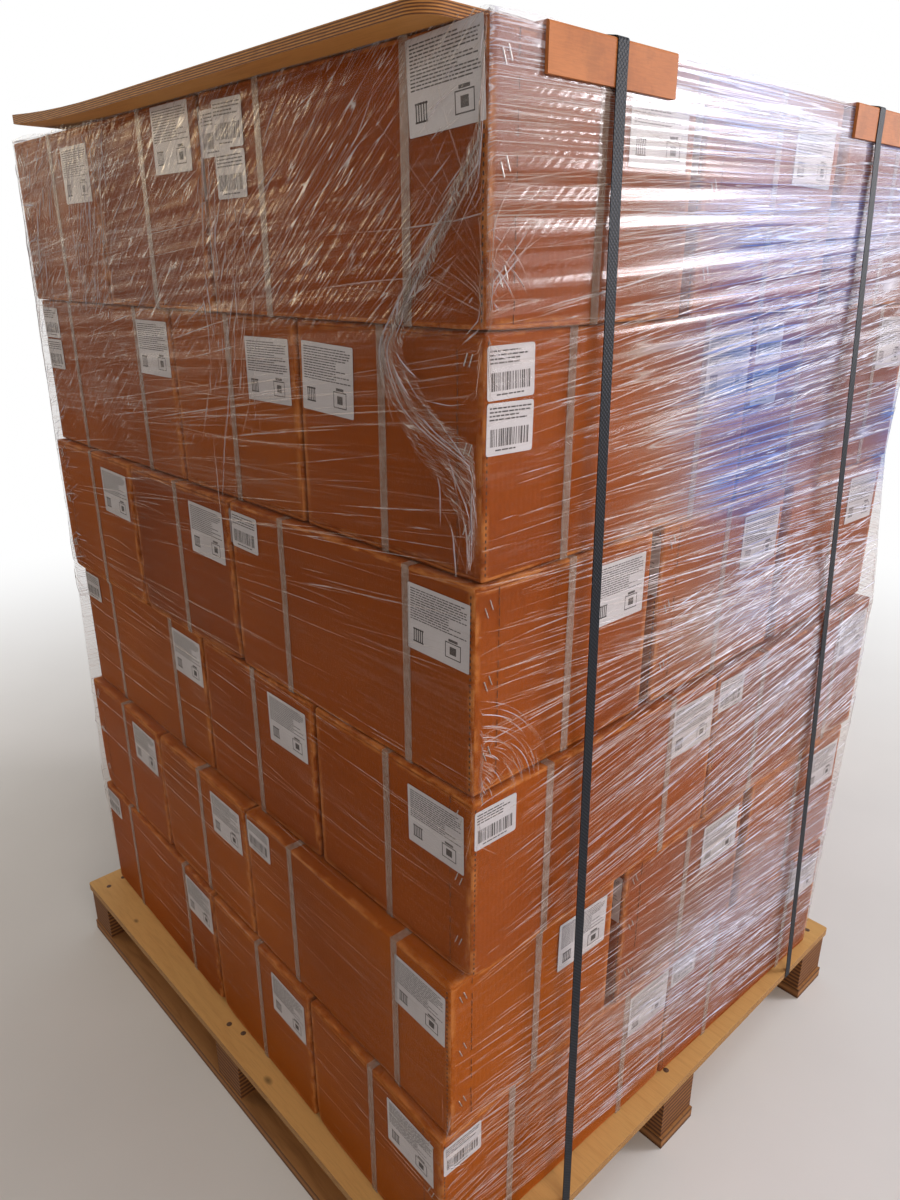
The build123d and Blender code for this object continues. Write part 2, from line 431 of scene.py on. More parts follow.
def mark_on(bm, x, z, width, height):
    """A flat printed mark, standing a hair's breadth off the paper; sizes in mm."""
    lie = Matrix.Translation((x * mm, -0.22 * mm, z * mm)) @ Matrix.Rotation(math.pi / 2, 4, "X")
    size = Matrix.Diagonal((width * mm / 2, height * mm / 2, 1, 1))
    bmesh.ops.create_grid(bm, x_segments=1, y_segments=1, size=1.0, matrix=lie @ size)


def text_rows(bm, left, right, top, rows, pitch, draw):
    """Rows of word-long dashes that stand for small print; sizes in mm."""
    for row in range(rows):
        x = left
        stop = right - (right - left) * draw.choice((0.0, 0.03, 0.1, 0.3))
        while x < stop:
            word = min(draw.uniform(2.5, 9.0), stop - x)
            mark_on(bm, x + word / 2, top - row * pitch, word, pitch * 0.42)
            x += word + 1.0


def print_big(draw):
    """Small print over a block of plain bars and the outline of a carton."""
    bm = bmesh.new()
    text_rows(bm, -44, 44, top=33, rows=13, pitch=2.9, draw=draw)
    # each mark as (x, z, width, height) from the label's middle
    bars = [(-38 + k * 3.4, -20, 1.7, 16) for k in range(5)] + [(-31, -13, 17, 1.6), (-31, -27.5, 17, 1.6)]
    frame_lines = [(24, -12, 24, 1.2), (24, -29, 24, 1.2), (12.5, -20.5, 1.2, 18), (35.5, -20.5, 1.2, 18)]
    carton_drawn = [(24, -20.5, 10, 9), (24, -9, 14, 3)]
    for mark in bars + frame_lines + carton_drawn:
        mark_on(bm, *mark)
    return bm


def print_bars(draw):
    """A few rows of small print over a barcode of random bars."""
    bm = bmesh.new()
    text_rows(bm, -29, 29, top=20, rows=4, pitch=3.6, draw=draw)
    x = -27
    while x < 27:
        bar = draw.choice((0.7, 1.1, 1.8))
        mark_on(bm, x, -8, bar, 17)
        x += bar + draw.choice((0.8, 1.2, 1.9))
    text_rows(bm, -20, 22, top=-20, rows=1, pitch=3.4, draw=draw)
    return bm


label_draw = random.Random(7)
big_sheet = as_mesh(sheet_of_paper(97 * mm, 77 * mm, 1.5 * mm), "big_sheet")
small_sheet = as_mesh(sheet_of_paper(65 * mm, 50 * mm, 3 * mm), "small_sheet")
big_prints = [as_mesh(print_big(label_draw), "big_print") for _ in range(3)]
bar_prints = [as_mesh(print_bars(label_draw), "bar_print") for _ in range(3)]
print("prints:", len(big_prints) + len(bar_prints))

# %% A place on a carton
carton_sides = {
    "front": (0, carton_length, carton_width),
    "right": (90, carton_width, carton_length),
    "left": (-90, carton_width, carton_length),
}


def on_carton(layer, number, side, u, z, out, tilt=0.0):
    """A place on a carton's front, left or right end, u from that side's left."""
    turn, across, depth = carton_sides[side]
    face = Matrix.Rotation(math.radians(turn), 4, "Z")
    spot = Matrix.Translation((u - across / 2, -depth / 2 - out, z - carton_height / 2))
    return carton_place(layer, number) @ face @ spot @ Matrix.Rotation(math.radians(tilt), 4, "Y")


def stamp(bm, mesh, place):
    """Adds a moved copy of a small mesh to a growing one."""
    copy = mesh.copy()
    copy.transform(place)
    bm.from_mesh(copy)
    bpy.data.meshes.remove(copy)


print("sides of a carton:", len(carton_sides))

# %% Stick the labels on
label_sheets, label_prints = bmesh.new(), bmesh.new()
# labels stuck on elsewhere, as (across, up, turn) in mm and degrees
moved_labels = {
    (5, 5, "left"): (56, 180, 1),
    (6, 1, "front"): (427, 203, -3),
    (6, 6, "left"): (240, 202, 0),
    (6, 4, "left"): (224, 193, 2),
}


def put_label(layer, number, side, u, z, big=True, out=0.45, tilt=0.0):
    tilt += label_draw.uniform(-1, 1)
    place = on_carton(layer, number, side, u * mm, z * mm, out * mm, tilt)
    stamp(label_sheets, big_sheet if big else small_sheet, place)
    stamp(label_prints, label_draw.choice(big_prints if big else bar_prints), place)


for layer, number in every_carton:
    slip = label_draw.uniform(-3, 3)
    # where the big labels usually sit, across and up each side
    usual = {
        "front": (426 + slip, 187 + slip),
        "right": (243 + slip, 182 - slip),
        "left": (243 - slip, 182 + slip),
    }
    for side, place in usual.items():
        u, z, tilt = moved_labels.get((layer, number, side), (*place, 0))
        put_label(layer, number, side, u, z, tilt=tilt)
    # one carton of the top layer has a third small label, half under the others
    shift, out = (28, 0.9) if (layer, number) == (6, 1) else (0, 0.45)
    if shift:
        put_label(layer, number, "front", 33, 199, big=False)
    # in the two top layers a second small label hangs below the first
    for z in (206, 153) if layer >= 5 else (206,):
        put_label(layer, number, "front", 36 + shift, z, big=False, out=out)

labels = finish_mesh(label_sheets, "carton_labels", paper)
prints = finish_mesh(label_prints, "label_print", ink)
print("label faces:", len(labels.data.polygons), "print marks:", len(prints.data.polygons))

# %% [markdown]
# ## The maker's joint
# A carton blank is closed at one corner: a 36 mm tab is lapped over the end
# and stapled in pairs, and the front panel's raw edge shows the flutes as a
# row of dark holes. The holes and the tab's edge are thin dark marks: painted
# shade in the open flutes and under the lap's step. In the odd layers the joint
# is at the other end.

# %% Staples, lap tabs and flute holes
def small_block(width, depth, height, round_by):
    """A small rounded block, its middle at the origin; sizes in mm."""
    bm = block(width * mm, depth * mm, height * mm)
    round_edges(bm, bm.edges[:], round_by * mm, 1)
    return bm


tab_width = 36
staple = as_mesh(small_block(1.3, 0.8, 13, 0.3), "staple")
flute_hole = as_mesh(small_block(1.9, 0.3, 3.6, 0.14), "flute_hole")
tab_edge = as_mesh(small_block(0.9, 0.5, 9, 0.2), "tab_edge")
staples, raw_edges = bmesh.new(), bmesh.new()
joint_draw = random.Random(11)
for layer, number in every_carton:
    side, inward = ("right", 1) if layer % 2 == 0 else ("left", -1)
    corner = 0 if inward == 1 else carton_width
    # three pairs of staples up the lap, 7 mm apart and slanting by 22 degrees
    for height in (218, 134, 48):
        for k in (-1, 1):
            u, z = corner + inward * (21 + k * 3.5) * mm, (height + k * 2 + joint_draw.uniform(-3, 3)) * mm
            stamp(staples, staple, on_carton(layer, number, side, u, z, 0.5 * mm, -inward * 22))
    # the tab's cut edge shows with gaps, and the front panel's has a hole every 7 mm; both are dark marks of
    # painted shade
    for k in range(20):
        if joint_draw.random() < 0.8:
            u = corner + inward * (tab_width + joint_draw.uniform(-0.5, 0.5)) * mm
            stamp(raw_edges, tab_edge, on_carton(layer, number, side, u, (9 + k * 11.8) * mm, 0.1 * mm))
    u = carton_length - flap_edge if inward == 1 else flap_edge
    for k in range(33):
        place = on_carton(layer, number, "front", u, (9 + k * 7) * mm, 0.05 * mm, joint_draw.uniform(-6, 6))
        stamp(raw_edges, flute_hole, place)

# Galvanised steel wire, drawn and clenched. It gives the eye small grey glints.
zinc = [(0.3, "#8f8a86"), (0.7, "#c9c4bd")]
steel = make_clouded("galvanised_staple_wire", 1.7 * mm, 2.0, zinc, Metallic=1.0, Roughness=0.32)
# Corrugated board cut by a rotary knife. Its raw edge gives the eye a dark,
# ragged row of holes: painted shade for the open flutes and the lap's step.
flute_shade = make_clouded("painted_flute_shade", 2 * mm, 3.0, [(0.35, "#2c1609"), (0.7, "#5a3316")], Roughness=0.9)
finish_mesh(staples, "carton_staples", steel)
finish_mesh(raw_edges, "carton_raw_edges", flute_shade)
print("staples and raw edges placed")

# %% [markdown]
# ## Stretch film
# The film is a sleeve of thin clear plastic wound round the load many times.
# Between layers that have slid apart it bridges the step in a straight line.
# It starts as an open cone with as many sides as the sleeve needs columns.
# Its uprights are subdivided into rows, and each point is then moved to its
# place on a rounded outline that is blended between the layer joints.

# %% The sleeve's outline
load_length, load_width = 1110 * mm, 963 * mm
deck_top = 124 * mm
load_bottom = deck_top + 0.9 * mm
layer_pitch = 244.5 * mm
load_top = load_bottom + layer_count * layer_pitch - 1.5 * mm
joint_height = [load_bottom + k * layer_pitch for k in range(layer_count + 1)]
film_clear = 1.3 * mm


def wrap_section(*layers):
    """Turn and edges of the outline round some layers, in its own turned frame."""
    turn = sum(layer_turn[k] for k in layers) / len(layers)
    back = Matrix.Rotation(math.radians(-turn), 2)
    corners = []
    for k in layers:
        spin = Matrix.Rotation(math.radians(layer_turn[k]), 2)
        for x in (-load_length / 2, load_length / 2):
            for y in (-load_width / 2, load_width / 2):
                corners.append(back @ (spin @ Vector((x, y)) + Vector(layer_slide[k]) * mm))
    xs, ys = [p.x for p in corners], [p.y for p in corners]
    return turn, min(xs), max(xs), min(ys), max(ys)


joints = range(1, layer_count)
# at the deck, at each joint between layers, and twice at the top, where it goes straight up
section_heights = [deck_top] + [joint_height[k] for k in joints] + [load_top - 60 * mm, load_top + 40 * mm]
sections = [wrap_section(0)] + [wrap_section(k - 1, k) for k in joints] + [wrap_section(5)] * 2


def section_at(z):
    """The blended section at a height."""
    for k in range(len(sections) - 1):
        if z <= section_heights[k + 1]:
            break
    t = (z - section_heights[k]) / (section_heights[k + 1] - section_heights[k])
    t = min(1.0, max(0.0, t))
    return [a + (b - a) * t for a, b in zip(sections[k], sections[k + 1])]


print("film sections:", len(sections))

# %% A point of the film
# a place on the film is its height and its way round: 0 to 4 from the near
# corner, over the strapped side (+X), the back (+Y), the far side (-X) and the
# front (-Y). One unit of way is about a metre and a bit, and both ends of each
# unit go to the rounded corners.
side_metres = 1.05
corner_share = 0.06
corner_radius = 7 * mm


def film_point(way, z, lift=0.0):
    """Where a place on the film is in the frame, lift metres off its outline."""
    turn, x0, x1, y0, y1 = section_at(z)
    side, part = int(way) % 4, way - int(way)
    start = Vector(((x1, y0), (x1, y1), (x0, y1), (x0, y0))[side])
    along = Vector(((0, 1), (-1, 0), (0, -1), (1, 0))[side])
    out = Vector((along.y, -along.x))
    r, span = corner_radius, (x1 - x0) if side % 2 else (y1 - y0)
    to_end = min(part, 1 - part)
    if to_end < corner_share:
        a = (to_end / corner_share + 1) * math.pi / 4
        toward, at = (-along, r) if part < 0.5 else (along, span - r)
        heading = out * math.sin(a) + toward * math.cos(a)
        p = start + along * at - out * r + heading * (r + film_clear + lift)
    else:
        t = (part - corner_share) / (1 - 2 * corner_share)
        p = start + along * (r + t * (span - 2 * r)) + out * (film_clear + lift)
    p = Matrix.Rotation(math.radians(turn), 2) @ p
    return Vector((p.x, p.y, z))


print("near corner at half height:", [round(c, 3) for c in film_point(0.0, 0.8)])

# %% How the pull leans
# how far the stretch lines rise in a metre of each side, as (height, rise)
strapped_lean = (
    (0.14, -0.07), (0.45, -0.11), (0.58, 0.07), (0.70, 0.19), (0.88, 0.12),
    (0.98, -0.08), (1.13, 0.0), (1.30, 0.15), (1.45, 0.13), (1.60, 0.02),
)
front_lean = (
    (0.14, 0.05), (0.55, 0.0), (0.84, -0.05), (0.95, 0.06), (1.10, 0.18), (1.30, 0.20), (1.60, 0.22),
)
hidden_lean = ((0.0, 0.06), (2.0, 0.06))
side_lean = (strapped_lean, hidden_lean, hidden_lean, front_lean)
# with the whole lean, lines from nearby heights would cross at the far end of a side
lean_share = 0.45


def lean_at(way, z):
    known = side_lean[int(way) % 4]
    for (low, a), (high, b) in zip(known, known[1:]):
        if z <= high:
            break
    return a + (b - a) * min(1.0, max(0.0, (z - low) / (high - low)))


def stretch_line(way, z):
    """Height measured across the film's stretch lines, which lean with the wrap."""
    return z - lean_share * lean_at(way, z) * (way - int(way))


print("lean on the strapped side at 0.7 m:", lean_at(0.5, 0.7))

# %% How thick and how crumpled the film is
def ripple(x, y, z):
    """Smooth noise about 0."""
    return noise.noise(Vector((x, y, z)))


def ease(x):
    """0 below 0, 1 above 1, smooth between."""
    x = max(0.0, min(1.0, x))
    return x * x * (3 - 2 * x)


def film_lift(way, z):
    """How far the film's folds stand out, in metres."""
    line = stretch_line(way, z)
    fold, broad = ripple(way * 2.0, line * 36, 3.0), ripple(way * 1.1, line * 9, 9.0)
    return (1.5 * max(0.0, fold) + 1.4 * max(0.0, broad)) * mm


def haze_and_reflection_at(way, z):
    """How many turns of film lie over each other, and where a painted reflection of the bright windows falls,
    0 to 1.
    """
    side, part = int(way) % 4, way - int(way)
    patch = 0.8 + 0.5 * ripple(way * 3.0, z * 4.0, 1.0)
    if side == 0:
        # clear at the near corner, hazy farther on, most of all in the upper half; far along and high up, the
        # haze is a painted reflection of the bright window
        near = 0.03 + 0.40 * ease((z - 1.2) / 0.3)
        far = 0.42 + 0.30 * ease((z - 0.80) / 0.4)
        reach_of_clear = 0.5 - 0.2 * ease((z - 1.0) / 0.2)
        return patch * (near + (far - near) * ease((part - 0.16) / reach_of_clear))
    # on the front the haze grows towards the far end of the upper layers, as painted glints of light
    if side == 3:
        return patch * (0.05 + 0.20 * (1 - part) * ease((z - 0.95) / 0.4))
    return patch * 0.35


def crackle_at(way, z):
    """Where the film is crumpled in steep, short creases, 0 to 1."""
    side, part = int(way) % 4, way - int(way)
    # most in the slack top layer, and above the loose tail on the front
    patch = max(0.0, 0.55 + 0.9 * ripple(way * 9.0, z * 7.0, 5.0))
    top = ease((z - 1.31) / 0.07)
    if side == 0:
        return 0.22 * patch * ease((0.30 - part) / 0.2) * ease((z - 1.33) / 0.1)
    if side == 3:
        return patch * (top + (1 - top) * 0.7 * ease((z - 1.08) / 0.1) * ease((0.75 - part) / 0.5))
    return patch * 0.6 * top


print("haze near and far:", round(haze_and_reflection_at(0.1, 0.5), 2), round(haze_and_reflection_at(0.9, 0.5), 2))

# %% Build the sleeve
columns_per_side, corner_columns = 88, 5
sleeve_rows = 136
film_low, film_high = deck_top + 12 * mm, load_top + 5 * mm


def spread_way(angle):
    """Turns a point's angle on the cone into its way round the load.
    A few columns go to each half corner and the rest to the flats."""
    index = round(angle / (2 * math.pi) * 4 * columns_per_side) % (4 * columns_per_side)
    side, step = divmod(index, columns_per_side)
    left = columns_per_side - step
    if step <= corner_columns:
        return side + step / corner_columns * corner_share
    if left <= corner_columns:
        return side + 1 - left / corner_columns * corner_share
    flat_columns = columns_per_side - 2 * corner_columns
    return side + corner_share + (step - corner_columns) / flat_columns * (1 - 2 * corner_share)


def film_layers(bm):
    """What each piece of film knows at its points: its map, its haze with the painted reflection, and its
    crackle.
    """
    floats = bm.verts.layers.float
    return bm.loops.layers.uv.new("stretch"), floats.new("haze_and_reflection"), floats.new("crackle")


def film_tube(rows, move):
    """An open tube of film; move(way, rise) gives each point, its height,
    haze with its painted reflection, and crackle."""
    bm = bmesh.new()
    bmesh.ops.create_cone(bm, cap_ends=False, segments=4 * columns_per_side, radius1=1, radius2=1, depth=1)
    uprights = [e for e in bm.edges if reach(e, 2) > 0.5]
    bmesh.ops.subdivide_edges(bm, edges=uprights, cuts=rows - 1, use_grid_fill=True)
    uv, haze_and_reflection, crackle = film_layers(bm)
    lines = {}
    for v in bm.verts:
        way = spread_way(math.atan2(v.co.y, v.co.x) % (2 * math.pi))
        v.co, z, v[haze_and_reflection], v[crackle] = move(way, v.co.z + 0.5)
        lines[v] = (way, z)
    # where the tube closes, its map runs on past 4, so no face stretches back to 0
    for face in bm.faces:
        over_start = max(lines[v][0] for v in face.verts) > 3.5
        for loop in face.loops:
            way, z = lines[loop.vert]
            loop[uv].uv = (way + 4 if over_start and way < 1 else way, stretch_line(way, z))
    bmesh.ops.recalc_face_normals(bm, faces=bm.faces)
    return bm


def sleeve_point(way, rise):
    low = film_low + 5 * mm * ripple(way * 3.0, 7.0, 0.0)
    high = film_high + 5 * mm * ripple(way * 14.0, 2.0, 0.0)
    z = low + (high - low) * rise
    return film_point(way, z, film_lift(way, z)), z, haze_and_reflection_at(way, z), crackle_at(way, z)


sleeve = film_tube(sleeve_rows, sleeve_point)
print("sleeve faces:", len(sleeve.faces))

# %% [markdown]
# The film is clear polyethylene, stretched until it whitens in fine lines.
# Light passes through it, so most of it is a low alpha. What is left there has
# the board's own brown as its base colour and a strong gloss, so a clear part
# adds reflections and no milk. A wrinkle is a thin line, so the finish draws
# the places where a noise that is pulled out along the stretch crosses its
# middle value. The haze on each point says how many turns lie over each other,
# and it also carries a painted reflection of the bright windows, far along the
# strapped side and towards the far top of the front, where the milk turns a
# painted lavender and blue.

# %% Film finish
# Linear low density polyethylene, blown and stretched. It gives the eye sharp
# glints on a clear skin, white hairlines along the pull and, where many turns
# lie over each other, a cool veil. The veil's lavender and blue are a painted
# reflection of bright windows and sky, and the white lines and creases are
# partly painted glints.
def make_film_plastic(name, body, line_share):
    """Film with some milk all over, its body, and lines as strong as their share."""
    made, tree, shader = new_material(name)
    flat = add(tree, "UVMap", {"uv_map": "stretch"})
    haze_and_reflection = add(tree, "Attribute", {"attribute_name": "haze_and_reflection"}).outputs["Fac"]
    crackle = add(tree, "Attribute", {"attribute_name": "crackle"}).outputs["Fac"]

    def cells(long, pitch, lean=0.0):
        """Soft noise with cells long by pitch in mm, turned by lean."""
        size = (long * mm, pitch * mm, 1)
        at = add(tree, "Mapping", CELL, Vector=flat, Rotation=(0, 0, lean), Scale=size)
        return add(tree, "TexNoise", FLAT, Vector=at, Scale=1.0, Detail=0.0)

    def lines(cell, width):
        """The lines along which a noise crosses its middle value."""
        off = add(tree, "Math", {"operation": "SUBTRACT"}, _0=cell, _1=0.5)
        away = add(tree, "Math", {"operation": "ABSOLUTE"}, _0=off)
        return add(tree, "ValToRGB", stops=[(0.0, 1.0), (width, 0.0)], Fac=away)

    # real stretch lines are closer than 3.6 mm; drawn so far apart, they still show
    hatch = lines(cells(230, 3.6), 0.06)
    wrinkle_cell, bundle_cell, steep_cell = cells(560, 14), cells(1100, 62), cells(90, 5, 0.72)
    wrinkle, steep = lines(wrinkle_cell, 0.03), lines(steep_cell, 0.034)
    bundled = add(tree, "ValToRGB", stops=[(0.40, 0.2), (0.58, 1.0)], Fac=bundle_cell)
    fine = add(tree, "Math", TIMES, _0=hatch, _1=bundled)
    drawn = add(tree, "Math", LARGER, _0=fine, _1=wrinkle)
    # the crumpled creases are drawn white as well, partly as painted glints
    crumpled = add(tree, "Math", TIMES, _0=steep, _1=crackle)
    creased = add(tree, "Math", TIMES, _0=crumpled, _1=0.65)
    share = add(tree, "Math", {**TIMES_PLUS, "use_clamp": True}, _0=haze_and_reflection, _1=0.9, _2=line_share)
    lined = add(tree, "Math", TIMES_PLUS, _0=drawn, _1=share, _2=creased)
    cloudy = add(tree, "Math", TIMES_PLUS, _0=bundle_cell, _1=0.8, _2=0.2)
    veil = add(tree, "Math", TIMES, _0=haze_and_reflection, _1=cloudy)
    veiled = add(tree, "Math", TIMES_PLUS, _0=veil, _1=0.76, _2=body)
    milk = add(tree, "Math", PLUS, _0=lined, _1=veiled)
    skin = add(tree, "Math", TIMES_PLUS, _0=haze_and_reflection, _1=0.07, _2=0.04)
    total = add(tree, "Math", PLUS, _0=milk, _1=skin)
    # the veil is a cool lavender with bluer bands where many turns lie and the haze is strong: a painted
    # reflection of windows and sky
    painted_sky_reflection_stops = [(0.40, "#2b6ecc"), (0.47, "#6a8cdc"), (0.61, "#989fe2")]
    painted_sky_reflection = add(tree, "ValToRGB", stops=painted_sky_reflection_stops, Fac=wrinkle_cell)
    layers_and_reflection = add(tree, "ValToRGB", stops=[(0.25, 0.0), (0.75, 1.0)], Fac=haze_and_reflection)
    white = add(tree, "Mix", MIX, _0=layers_and_reflection, _6="#e8dcd2", _7=painted_sky_reflection)
    clear = add(tree, "ValToRGB", stops=[(0.0, 0.0), (0.3, 1.0)], Fac=milk)
    colour = add(tree, "Mix", MIX, _0=clear, _6="#8f5526", _7=white)
    height = add(tree, "Math", TIMES_PLUS, _0=steep_cell, _1=crackle, _2=wrinkle_cell)
    relief = add(tree, "Bump", Height=height, Strength=0.9, Distance=3.0 * mm)
    # the skin's alpha weakens its gloss, so its IOR is set above that of the plastic
    wire(shader, Base_Color=colour, Alpha=total, Normal=relief)
    wire(shader, Roughness=0.14, IOR=1.8, Specular_IOR_Level=0.6)
    return made


def film_piece(bm, name, material):
    """Finishes a piece of the film, which stands where the CAD's sleeve stood."""
    piece = finish_mesh(bm, name, material, smooth=True)
    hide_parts("stretch_wrap")
    print(name, "faces:", len(piece.data.polygons))


gathered_plastic = make_film_plastic("gathered_polyethylene_film", 0.03, 0.20)
loose_plastic = make_film_plastic("loose_polyethylene_film", 0.0, 0.09)
film_piece(sleeve, "stretch_film", make_film_plastic("stretched_polyethylene_film", 0.0, 0.04))

# %% Drawn film finish
# Polyethylene drawn until it whitens. It gives the eye thin white glints that
# fade out and come back along their length. Their white is partly painted glint,
# warm where the film is clear and a painted lavender where the haze is strong.
def make_drawn_glint_plastic():
    made, tree, shader = new_material("drawn_polyethylene_painted_glints")
    flat = add(tree, "UVMap", {"uv_map": "stretch"})
    haze_and_reflection = add(tree, "Attribute", {"attribute_name": "haze_and_reflection"}).outputs["Fac"]
    at = add(tree, "Mapping", CELL, Vector=flat, Scale=(34 * mm, 3 * mm, 1))
    whitening = add(tree, "TexNoise", FLAT, Vector=at, Scale=1.0, Detail=1.0)
    broken = add(tree, "ValToRGB", stops=[(0.36, 0.3), (0.54, 1.0)], Fac=whitening)
    seen = add(tree, "Math", TIMES, _0=haze_and_reflection, _1=broken)
    # the lines' colour is a painted light: warm where the film is clear, lavender where the haze is strong
    painted_light_tint = add(tree, "ValToRGB", stops=[(0.2, "#ead2bf"), (0.7, "#dde0f6")], Fac=haze_and_reflection)
    relief = add(tree, "Bump", Height=whitening, Strength=0.6, Distance=0.8 * mm)
    wire(shader, Base_Color=painted_light_tint, Alpha=seen, Roughness=0.2, IOR=1.5, Normal=relief)
    return made


drawn_glint_plastic = make_drawn_glint_plastic()
print("drawn film nodes:", len(drawn_glint_plastic.node_tree.nodes))

# %% [markdown]
# ## The film's hem
# Above the top layer the film has nothing to lean on, so its last centimetres
# fold inward over the cartons. The hem is another tube, laid flat: it lies
# under the board and the protectors and stands up in crumples between them.

# %% Fold the hem over
protectors = [f"edge_protector_{side}_{number}" for side in ("right", "left") for number in (1, 2)]
covers = [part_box(name) for name in ["top_board"] + protectors]
hem_rows = 9


def under_cover(x, y, room):
    """0 under the board or a protector, rising to 1 at `room` away from them."""
    away = 1e9
    for low, high in covers:
        dx = max(low.x - x, 0.0, x - high.x)
        dy = max(low.y - y, 0.0, y - high.y)
        away = min(away, math.hypot(dx, dy))
    return min(1.0, away / room)


def hem_point(way, rise):
    outer = film_point(way, load_top, film_lift(way, load_top))
    middle = Vector(layer_slide[-1]) * mm
    # some 60 mm wide, with broad and fine waves in its edge
    wide = (58 + 26 * ripple(way * 2.3, 4.0, 0.0) + 8 * ripple(way * 17.0, 5.0, 0.0)) * mm
    room_x = load_length / 2 + film_clear - rise * wide
    room_y = load_width / 2 + film_clear - rise * wide
    side = outer.xy - middle
    inside = Vector((min(max(side.x, -room_x), room_x), min(max(side.y, -room_y), room_y)))
    spot = middle + (inside if rise > 0 else side)
    free = under_cover(spot.x, spot.y, 25 * mm)
    crumple = 0.5 + 0.5 * ripple(way * 26.0, rise * 1.5, 2.0)
    curl = math.sin(min(1.0, rise * 2.2) * math.pi) * 0.6 + 0.25
    z = load_top + 0.45 * mm + free * crumple * curl * 9 * mm
    return Vector((spot.x, spot.y, z)), load_top - rise * 0.05, 0.4, 0.6


film_piece(film_tube(hem_rows, hem_point), "film_hem", gathered_plastic)

# %% [markdown]
# ## Folds in the film
# The strongest wrinkles are real folds a millimetre or two high: long ones
# along the stretch, short ones that fan out from where a corner of one layer
# pushes past the next, and upright crinkles near the top. Each is a narrow
# grid bent into a ridge on the film, and all are one joined mesh. The pull has
# whitened them, and their white is partly painted glint, so they wear the drawn
# finish with its painted glints and not that of the sleeve.

# %% One fold
def join_to(into, bm):
    """Adds a small bmesh to a growing one and frees it."""
    mesh = as_mesh(bm, "joined")
    into.from_mesh(mesh)
    bpy.data.meshes.remove(mesh)


def lay_map(bm, uv, places):
    """Writes each point's place on the flat film into the UV map."""
    for face in bm.faces:
        for loop in face.loops:
            loop[uv].uv = places[loop.vert]
    bmesh.ops.recalc_face_normals(bm, faces=bm.faces)


def lay_fold(into, points, width, height, haze_and_reflection_value, clear=0.25):
    """Adds a ridge along (way, z) points; width, height and the gap to the film
    below are in mm."""
    bm = bmesh.new()
    bmesh.ops.create_grid(bm, x_segments=len(points) - 1, y_segments=2, size=0.5)
    uv, haze_and_reflection, crackle = film_layers(bm)
    (way_0, z_0), (way_1, z_1) = points[0], points[-1]
    long = math.dist((way_0 * side_metres, z_0), (way_1 * side_metres, z_1))
    places = {}
    for v in bm.verts:
        k = round((v.co.x + 0.5) * (len(points) - 1))
        across = v.co.y * 2
        # each fold reads its own part of the pattern
        places[v] = (way_0 * 5 + v.co.x * long, z_0 * 3 + v.co.y * width * mm)
        a, b = points[max(0, k - 1)], points[min(len(points) - 1, k + 1)]
        heading = Vector(((b[0] - a[0]) * side_metres, b[1] - a[1])).normalized()
        taper = math.sin(math.pi * (k + 0.35) / (len(points) - 0.3)) ** 0.5
        aside = across * width * mm * taper / 2
        way = (points[k][0] - heading.y * aside / side_metres) % 4
        z = points[k][1] + heading.x * aside
        top = height * taper * (1 - across * across) + clear
        v.co = film_point(way, z, film_lift(way, z) + top * mm)
        v[haze_and_reflection], v[crackle] = haze_and_reflection_value * taper, 0.5
    lay_map(bm, uv, places)
    join_to(into, bm)


def off_from(way, z, angle, distance, squash=1.0):
    """The place at a distance from another, at an angle above the level."""
    return way + math.cos(angle) * distance / side_metres, z + math.sin(angle) * distance * squash


def height_on_line(way, line):
    """The height where a stretch line passes at one way round."""
    z = line
    for _ in range(3):
        z += line - stretch_line(way % 4, z)
    return z


print("helpers for folds")

# %% Long folds along the stretch
fold_draw = random.Random(5)
folds = bmesh.new()
# the growing mesh needs the same layers, or a fold's values are lost
film_layers(folds)


def long_folds(count, low_way, high_way, low_z, high_z, length, width, height, haze_and_reflection_value=0.6):
    """Folds along the pull; width and height are the largest, in mm."""
    for _ in range(count):
        start = fold_draw.uniform(low_way, high_way)
        long = fold_draw.uniform(0.25, 1.0) * length
        line = fold_draw.uniform(low_z, high_z)
        sway = fold_draw.uniform(-0.012, 0.012)
        steps = max(6, int(long / 0.04))
        points = []
        for k in range(steps + 1):
            way = start + long * k / steps
            points.append((way, height_on_line(way, line) + sway * math.sin(math.pi * k / steps)))
        heights = [z for _, z in points]
        if min(heights) > film_low + 4 * mm and max(heights) < load_top - 4 * mm:
            measures = [fold_draw.uniform(0.4, 1.0) * most for most in (width, height, haze_and_reflection_value)]
            lay_fold(folds, points, *measures)


long_folds(26, 0.02, 0.35, 0.22, 1.55, 0.5, 2.6, 1.4, 0.5)
long_folds(60, 0.35, 0.75, 0.22, 1.55, 0.5, 4.0, 1.8, 0.8)
long_folds(50, 3.0, 3.75, 0.22, 1.5, 0.4, 1.8, 1.3, 0.4)
long_folds(60, 1.0, 2.8, 0.2, 1.5, 0.6, 3.5, 1.8)
print("fold faces so far:", len(folds.faces))

# %% Fans and ripples at the corners
def fan(way, z, low_angle, high_angle, count, length, haze_and_reflection_value=0.5):
    """Folds that spread from one point; angles in degrees above the level."""
    for k in range(count):
        angle = math.radians(low_angle + (high_angle - low_angle) * (k + fold_draw.uniform(0, 0.9)) / count)
        long = fold_draw.uniform(0.3, 1.0) * length
        bend = fold_draw.uniform(-0.22, 0.22)
        foot = fold_draw.uniform(0.05, 0.3)
        stops = [(foot + (1 - foot) * step / 8) * long for step in range(9)]
        points = [off_from(way, z, angle + bend * t / length, t) for t in stops]
        wide, tall = fold_draw.uniform(0.7, 1.7), fold_draw.uniform(0.5, 1.2)
        lay_fold(folds, points, wide, tall, fold_draw.uniform(0.3, 1.0) * haze_and_reflection_value)


